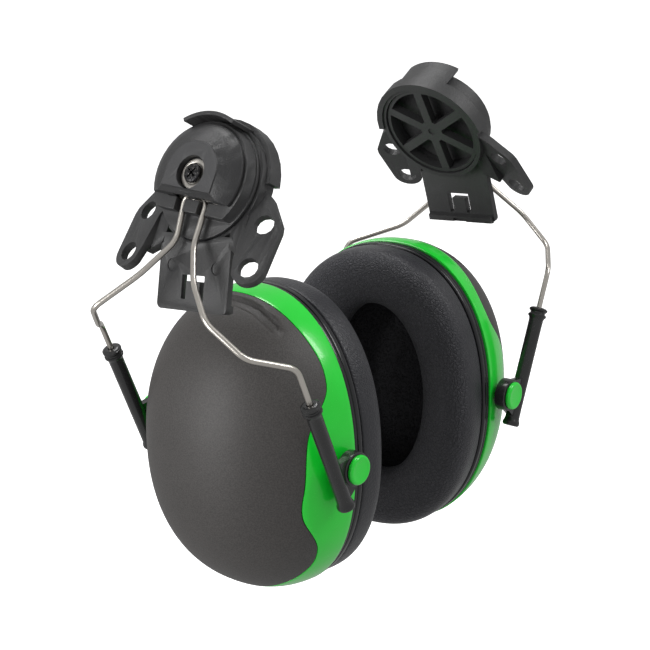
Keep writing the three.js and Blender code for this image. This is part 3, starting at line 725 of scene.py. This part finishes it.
def wire_stations():
    """Points and directions along the wire, closer together round its bends."""
    corners = []
    for end in ("front", "rear"):
        sign = -1 if end == "front" else 1
        top = SLEEVE_TOP.copy()
        if end == "rear":
            top.x = -top.x
            top += REAR_SHIFT
        leg = [Vector((sign * CROSSBAR.x, CROSSBAR.y, CROSSBAR.z))]
        leg += [Vector(point) for point in LEG_BENDS[end]]
        leg += [top - SLEEVE_DOWN * WIRE_ABOVE_SLEEVE[end], top + SLEEVE_DOWN * WIRE_IN_SLEEVE]
        corners.append(leg)
    path = corners[0][::-1] + corners[1]
    points = [path[0]]
    for i in range(1, len(path) - 1):
        before, after = path[i - 1] - path[i], path[i + 1] - path[i]
        cut = min(WIRE_BEND, before.length * 0.45, after.length * 0.45)
        enter = path[i] + before.normalized() * cut
        leave = path[i] + after.normalized() * cut
        for step in range(9):
            t = step / 8
            points.append(enter * (1 - t) ** 2 + path[i] * (2 * t * (1 - t)) + leave * t**2)
    points.append(path[-1])
    return points


def tube_rings(points, radius, sides):
    """Rings across a path, carried along it without twist."""
    rings = []
    across = Vector((1, 0, 0)).cross(points[1] - points[0]).normalized()
    for i, point in enumerate(points):
        ahead = points[min(i + 1, len(points) - 1)] - point
        behind = point - points[max(i - 1, 0)]
        along = (ahead.normalized() + behind.normalized()).normalized()
        across = (across - along * across.dot(along)).normalized()
        third = along.cross(across)
        rings.append([
            point + across * (radius * math.cos(a)) + third * (radius * math.sin(a))
            for a in around(sides)])
    return rings


class EARMUFF_OT_wires(bpy.types.Operator):
    """Bends the two sprung wire arms"""

    bl_idname = "earmuff.wires"
    bl_label = "Wire arms"

    def execute(self, context):
        radius = sizes().wire_radius / MM
        wire = lofted("wire", tube_rings(wire_stations(), radius, 20), ARM, capped=True)
        smooth(wire, 60)
        finished(wire, "wire_arm", "arm", wire_steel())
        return {"FINISHED"}


def sleeve_place(end):
    """The arm's place, mirrored and shifted for the rear sleeve."""
    if end == "front":
        return ARM
    return ARM @ Matrix.Translation(REAR_SHIFT) @ MIRROR_X


def pivot_place():
    """Z runs outwards along the front pivot's axis, in the arm's millimetres."""
    turn = Matrix(((0, 0, -1), (0, 1, 0), (1, 0, 0))).to_4x4()
    return Matrix.Translation((0, PIVOT_Y, PIVOT_Z)) @ turn


class EARMUFF_OT_sleeves(bpy.types.Operator):
    """Moulds the sliding sleeves with their collars, feet and pivot eyes"""

    bl_idname = "earmuff.sleeves"
    bl_label = "Sliding sleeves"

    def sleeve(self, name):
        turn = Vector((0, 0, -1)).rotation_difference(SLEEVE_DOWN).to_matrix().to_4x4()
        down = Matrix.Translation(SLEEVE_TOP) @ turn
        tube = spun(name, [
            (0, -0.05), (2.3, -0.05), (2.85, -0.2), (3.1, -0.45), (3.45, -0.6), (3.5, -0.9),
            (3.45, -1.3), (3.1, -1.6), (2.85, -1.85), (2.8, -2.2), (2.9, -2.5), (3.4, -2.75),
            (3.5, -3.1), (3.42, -3.5), (3.1, -3.8), (2.85, -4.2), (2.72, -5), (2.68, -8),
            (2.66, -40), (2.7, -42.6), (2.85, -43.6), (3.12, -44.2), (3.2, -44.6),
            (3.18, -45.2), (3, -45.6), (2.6, -45.85), (0, -45.9),
        ], down, 40)
        eye = spun("eye", [
            (2.5, 42.2), (5.7, 42.2), (5.95, 42.4), (6, 42.7), (6, 45.9), (5.95, 46.2),
            (5.7, 46.4), (2.5, 46.4),
        ], pivot_place(), 56)
        above = SLEEVE_TOP + SLEEVE_DOWN * 27
        below = SLEEVE_TOP + SLEEVE_DOWN * 43
        web = slab("web", [
            (above.y, above.z), (PIVOT_Y + 4.4, PIVOT_Z + 3), (PIVOT_Y - 3.2, PIVOT_Z - 4.2),
            (below.y, below.z),
        ], -46.0, -43.3, Matrix(((0, 0, 1, 0), (1, 0, 0, 0), (0, 1, 0, 0), (0, 0, 0, 1))))
        merged(tube, web)
        merged(tube, eye)
        cut = [(0, 1), (1.25, 1), (1.25, -BORE_DEPTH), (0, -BORE_DEPTH)]
        merged(tube, spun("bore", cut, down, 24), "DIFFERENCE")
        hole = [(0, 41), (PIN_HOLE, 41), (PIN_HOLE, 48), (0, 48)]
        merged(tube, spun("hole", hole, pivot_place(), 32), "DIFFERENCE")
        return tube

    def execute(self, context):
        plastic = sleeve_plastic()
        pattern = self.sleeve("sleeve")
        for end in ("front", "rear"):
            piece = pattern.copy()
            piece.data = pattern.data.copy()
            bpy.context.collection.objects.link(piece)
            piece.data.transform(sleeve_place(end))
            edited(piece, face_out)
            softened(piece, 0.12, 2, 50)
            smooth(piece, 40)
            finished(piece, f"{end}_sleeve", "sleeves", plastic)
        bpy.data.objects.remove(pattern)
        return {"FINISHED"}


class EARMUFF_OT_pins(bpy.types.Operator):
    """Turns the green pivot pins with their domed buttons"""

    bl_idname = "earmuff.pins"
    bl_label = "Pivot pins"

    def execute(self, context):
        plastic = green_plastic()
        dome = sizes().button_dome / MM
        seat = 46.7
        outline = [(0, 37.8), (2, 37.8), (2.2, 38), (2.2, seat), (5.05, seat), (5.2, seat + 0.15)]
        for step in range(9):
            turn = math.radians(step * 90 / 8)
            outline.append((4.3 + 0.9 * math.cos(turn), seat + dome - 0.9 + 0.9 * math.sin(turn)))
        outline += [(3.9, seat + dome - 0.03), (3.4, seat + dome - 0.12),
                    (2.4, seat + dome - 0.16), (0, seat + dome - 0.17)]
        for end in ("front", "rear"):
            pin = spun(f"{end}_pin", outline, sleeve_place(end) @ pivot_place(), 56)
            smooth(pin, 50)
            finished(pin, f"{end}_pivot_pin", "sleeves", plastic)
        return {"FINISHED"}


CRESCENT = {"middle": 14.8, "half": 2.2, "reach": 28, "fade": 5, "depth": 1.7}


def crescent(angle, point):
    """A point of the shell, sunk where the shallow channel near its top runs."""
    off = abs(point.z - CRESCENT["middle"]) / CRESCENT["half"]
    past = max(abs(math.degrees(angle) - 90) - CRESCENT["reach"], 0) / CRESCENT["fade"]
    fall = max(0.0, 1 - math.hypot(off, past) ** 2)
    out = Vector((point.x / CUP_HALF**2, point.y / CUP_TALL**2, point.z / CUP_DEPTH**2))
    return point - out.normalized() * (CRESCENT["depth"] * min(1.0, fall * 1.7))


class EARMUFF_OT_shells(bpy.types.Operator):
    """Moulds the grey cup shells"""

    bl_idname = "earmuff.shells"
    bl_label = "Cup shells"

    def execute(self, context):
        steps = 60
        rings = []
        for j in range(steps + 1):
            ring = []
            for angle in around(192):
                low = dome_measure(border_height(angle) + 0.3)
                point = dome_point(angle, 0, blend(low, 1, (j / steps) ** 1.15))
                ring.append(crescent(angle, point))
            rings.append(ring)
        shell = lofted("shell", rings, CUP)
        modified(shell, "SOLIDIFY", thickness=CUP_WALL * MM, offset=-1, use_even_offset=True)
        softened(shell, 0.28, 3, 60)
        smooth(shell, 50)
        finished(shell, "cup_shell", "cup", shell_plastic())
        return {"FINISHED"}


class EARMUFF_OT_bands(bpy.types.Operator):
    """Moulds the coloured bands that border the shells"""

    bl_idname = "earmuff.bands"
    bl_label = "Coloured bands"

    def execute(self, context):
        steps = 10
        rings = []
        for j in range(steps + 1):
            rings.append([
                dome_point(angle, 0, dome_measure(max(border_height(angle), 0.1) * j / steps))
                for angle in around(192)])
        band = lofted("band", rings, CUP)
        modified(band, "SOLIDIFY", thickness=CUP_WALL * MM, offset=-1, use_even_offset=True)
        for end in ("front", "rear"):
            place = sleeve_place(end) @ pivot_place()
            hole = spun("hole", [(0, 30), (PIN_HOLE, 30), (PIN_HOLE, 50), (0, 50)], place, 32)
            merged(band, hole, "DIFFERENCE")
        softened(band, 0.22, 2, 60)
        smooth(band, 50)
        finished(band, "cup_band", "cup", green_plastic())
        return {"FINISHED"}


def hole_ring(half, tall, z, count):
    return [Vector((half * math.cos(a), tall * math.sin(a), z)) for a in around(count)]


def rim_ring(inset, z, count):
    return [rim_point(a, inset, 1, z) for a in around(count)]


class EARMUFF_OT_plates(bpy.types.Operator):
    """Moulds the black plates that close the cups and hold the cushions"""

    bl_idname = "earmuff.plates"
    bl_label = "Cushion plates"

    def execute(self, context):
        count = 160
        outer = [(1.0, -0.3), (0.65, -0.4), (0.5, -0.65), (0.5, -1.5), (0.55, -1.75),
                 (0.85, -1.9), (0.95, -2.1), (0.85, -2.3), (0.55, -2.45), (0.5, -2.7),
                 (0.5, -3.7), (0.6, -4.2), (0.85, -4.5), (1.3, -4.6)]
        rings = [rim_ring(inset, z, count) for inset, z in outer]
        rings += [hole_ring(25.6, 37.6, -4.6, count), hole_ring(25.1, 37.1, -4.4, count),
                  hole_ring(25, 37, -4, count), hole_ring(25, 37, 2.6, count),
                  hole_ring(25.4, 37.4, 3, count)]
        rings += [rim_ring(CUP_WALL + 0.9, 3, count), rim_ring(CUP_WALL + 0.7, 2.7, count),
                  rim_ring(CUP_WALL + 0.5, -0.3, count)]
        plate = lofted("plate", rings, CUP, loop=True)
        smooth(plate, 40)
        finished(plate, "cushion_plate", "cup", plate_plastic())
        return {"FINISHED"}


class EARMUFF_OT_cushions(bpy.types.Operator):
    """Fills the sealing cushions by a short cloth simulation and grains their faces"""

    bl_idname = "earmuff.cushions"
    bl_label = "Cushions"

    # Inset from the rim and height; then distance out from the hole and height.
    SIDE = [(1.6, -4.9), (0.9, -5.6), (0.75, -7.5), (0.75, -10), (0.85, -12.2), (1.3, -14.2),
            (2.4, -16), (4.2, -17.3), (6.6, -18)]
    HOLE = [(8.2, -18), (5.4, -17.3), (3.1, -16.1), (1.4, -14.4), (0.55, -12.2), (0.4, -9.5),
            (0.4, -7), (0.5, -4.9)]

    def execute(self, context):
        count = 120
        rings = [rim_ring(inset, z, count) for inset, z in self.SIDE]
        middle = []
        for t in (0.33, 0.67):
            outer = rim_ring(self.SIDE[-1][0], -18, count)
            inner = hole_ring(HOLE_HALF + 8.2, HOLE_TALL + 8.2, -18, count)
            middle.append([a.lerp(b, t) + Vector((0, 0, -0.25)) for a, b in zip(outer, inner)])
        rings += middle
        rings += [hole_ring(HOLE_HALF + out, HOLE_TALL + out, z, count) for out, z in self.HOLE]
        cushion = lofted("cushion", rings, CUP, loop=True)
        rest = [vertex.co.copy() for vertex in cushion.data.vertices]
        self.swell(cushion, rest)
        self.mark_face(cushion)
        modified(cushion, "SUBSURF", levels=2, render_levels=2)
        smooth(cushion, 70)
        finished(cushion, "cushion", "cup", cushion_skin())
        return {"FINISHED"}

    def swell(self, cushion, rest):
        """Blows the skin up a little where the plate doesn't hold it, and caps how far it goes."""
        held = cushion.vertex_groups.new(name="held")
        inverse = CUP.inverted()
        heights = [(inverse @ co).z for co in rest]
        held.add([i for i, z in enumerate(heights) if z > -6.5], 1.0, "REPLACE")
        cloth = cushion.modifiers.new("Cloth", "CLOTH")
        cloth.settings.vertex_group_mass = "held"
        cloth.settings.use_pressure = True
        cloth.settings.uniform_pressure_force = 4
        cloth.settings.effector_weights.gravity = 0
        cloth.settings.tension_stiffness = 25
        cloth.settings.compression_stiffness = 20
        cloth.point_cache.frame_start, cloth.point_cache.frame_end = 1, 20
        for number in range(1, 21):
            bpy.context.scene.frame_set(number)
        alone(cushion)
        bpy.ops.object.modifier_apply(modifier=cloth.name)
        bpy.context.scene.frame_set(1)
        most = sizes().cushion_swell
        for vertex, start in zip(cushion.data.vertices, rest):
            move = vertex.co - start
            if move.length > most:
                vertex.co = start + move * (most / move.length)
        cushion.vertex_groups.clear()

    def mark_face(self, cushion):
        """Records how much of each spot belongs to the grained face rather than the side."""
        inverse = CUP.inverted()
        layer = cushion.data.attributes.new("face", "FLOAT", "POINT")
        for i, vertex in enumerate(cushion.data.vertices):
            spot = inverse @ vertex.co
            angle = math.atan2(spot.y / CUP_TALL, spot.x / CUP_HALF)
            inward = rim_point(angle, 0).length - math.hypot(spot.x, spot.y)
            layer.data[i].value = min(1.0, max(0.0, (inward - 1.2) / 2.0))


class EARMUFF_OT_foams(bpy.types.Operator):
    """Shapes the foam pads inside the cups"""

    bl_idname = "earmuff.foams"
    bl_label = "Foam pads"

    def execute(self, context):
        count = 96
        rings = []
        start = dome_point(0, FOAM_INSET, 0.05).z
        for k in (0.05, 0.2, 0.4, 0.6, 0.78, 0.92, 0.985):
            rings.append([
                rim_point(a, FOAM_INSET, k,
                          start + 0.5 * math.cos(k * 9) * math.cos(3 * a) * (1 - k))
                for a in around(count)])
        for s in (0.05, 0.1, 0.18, 0.28, 0.4, 0.52, 0.64, 0.76, 0.88, 1):
            rings.append([dome_point(a, FOAM_INSET, s) for a in around(count)])
        foam = lofted("foam", rings, CUP, capped=True)
        modified(foam, "SUBSURF", levels=1, render_levels=1)
        smooth(foam, 60)
        finished(foam, "foam_liner", "cup", foam_black())
        return {"FINISHED"}


FLOOR_HEIGHT = -0.26
SKY = {"From Min": -0.8, "From Max": 0.8, "To Min": 0.62, "To Max": 0.58}
# Name, place in metres, size in metres and power in watts of each soft box.
LAMPS = (
    ("right_box", (0.35, -0.9, 0.8), (0.35, 0.6), 6.0),
    ("left_box", (-1.3, 0.45, 0.1), (0.7, 0.9), 13.0),
    ("top_box", (0.1, 0.35, 1.1), (0.5, 0.5), 6.0),
)


class EARMUFF_OT_stage(bpy.types.Operator):
    """Sets the pale floor, the soft lights and the camera"""

    bl_idname = "earmuff.stage"
    bl_label = "Stage"

    CAMERA = {"azimuth": -51.76, "elevation": 13.7, "roll": -3.88, "lens": 107.9,
              "place": (-0.541, -0.4172, 0.1056)}

    def floor(self):
        bpy.ops.object.select_all(action="DESELECT")
        bpy.ops.mesh.primitive_grid_add(x_subdivisions=24, y_subdivisions=24, size=12)
        floor = bpy.context.object
        floor.name = "floor"
        for vertex in floor.data.vertices:
            vertex.co.z = FLOOR_HEIGHT
        smooth(floor)
        floor.data.materials.append(floor_paper())
        floor.visible_diffuse = floor.visible_glossy = False

    def light(self, name, place, size, power, colour=(1, 1, 1)):
        bpy.ops.object.light_add(type="AREA", location=place)
        lamp = bpy.context.object
        lamp.name = name
        lamp.data.shape = "RECTANGLE"
        lamp.data.size, lamp.data.size_y = size
        lamp.data.energy = power
        lamp.data.color = colour
        aim = Vector((0, 0, -0.06)) - Vector(place)
        lamp.rotation_euler = aim.to_track_quat("-Z", "Y").to_euler()

    def studio(self):
        """A white backdrop that lights the object as a dimmer, almost even sky."""
        world = bpy.data.worlds.new("Studio")
        bpy.context.scene.world = world
        world.use_nodes = True
        tree = world.node_tree
        seen, lighting = tree.nodes["Background"], tree.nodes.new("ShaderNodeBackground")
        seen.inputs["Color"].default_value = (1, 1, 1, 1)
        split = tree.nodes.new("ShaderNodeSeparateXYZ")
        tree.links.new(tree.nodes.new("ShaderNodeTexCoord").outputs["Generated"], split.inputs[0])
        sky = tree.nodes.new("ShaderNodeMapRange")
        for name, value in SKY.items():
            sky.inputs[name].default_value = value
        tree.links.new(split.outputs["Z"], sky.inputs["Value"])
        tree.links.new(sky.outputs["Result"], lighting.inputs["Strength"])
        mix, path = tree.nodes.new("ShaderNodeMixShader"), tree.nodes.new("ShaderNodeLightPath")
        tree.links.new(path.outputs["Is Camera Ray"], mix.inputs[0])
        tree.links.new(lighting.outputs[0], mix.inputs[1])
        tree.links.new(seen.outputs[0], mix.inputs[2])
        tree.links.new(mix.outputs[0], tree.nodes["World Output"].inputs["Surface"])

    def execute(self, context):
        self.floor()
        self.studio()
        for lamp in LAMPS:
            self.light(*lamp)
        turn, tilt = math.radians(self.CAMERA["azimuth"]), math.radians(self.CAMERA["elevation"])
        roll = math.radians(self.CAMERA["roll"])
        back = Vector((math.sin(turn) * math.cos(tilt), -math.cos(turn) * math.cos(tilt),
                       math.sin(tilt)))
        right = Vector((math.cos(turn), math.sin(turn), 0))
        up = back.cross(right)
        x = right * math.cos(roll) + up * math.sin(roll)
        y = up * math.cos(roll) - right * math.sin(roll)
        bpy.ops.object.camera_add()
        camera = bpy.context.object
        camera.data.lens = self.CAMERA["lens"]
        camera.data.sensor_width = 36
        camera.data.clip_start = 0.01
        place = Matrix((x, y, back)).transposed().to_4x4()
        camera.matrix_world = Matrix.Translation(self.CAMERA["place"]) @ place
        bpy.context.scene.camera = camera
        bpy.context.scene.view_settings.view_transform = "Standard"
        return {"FINISHED"}


class EARMUFF_PT_panel(bpy.types.Panel):
    bl_label = "Earmuffs"
    bl_idname = "EARMUFF_PT_panel"
    bl_space_type = "VIEW_3D"
    bl_region_type = "UI"
    bl_category = "Earmuffs"

    def draw(self, context):
        for name in ("wire_radius", "edge_round", "cushion_swell", "button_dome"):
            self.layout.prop(context.scene.earmuff_sizes, name)
        for operator in OPERATORS:
            self.layout.operator(operator.bl_idname)


OPERATORS = (
    EARMUFF_OT_brackets, EARMUFF_OT_hubs, EARMUFF_OT_screws, EARMUFF_OT_wires,
    EARMUFF_OT_sleeves, EARMUFF_OT_pins, EARMUFF_OT_shells, EARMUFF_OT_bands,
    EARMUFF_OT_plates, EARMUFF_OT_cushions, EARMUFF_OT_foams, EARMUFF_OT_stage,
)
CLASSES = (EarmuffSizes, *OPERATORS, EARMUFF_PT_panel)


def register():
    for cls in CLASSES:
        bpy.utils.register_class(cls)
    bpy.types.Scene.earmuff_sizes = bpy.props.PointerProperty(type=EarmuffSizes)


def unregister():
    del bpy.types.Scene.earmuff_sizes
    for cls in reversed(CLASSES):
        bpy.utils.unregister_class(cls)


def main():
    register()
    for operator in OPERATORS:
        group, name = operator.bl_idname.split(".")
        getattr(getattr(bpy.ops, group), name)()


if __name__ == "__main__":
    main()
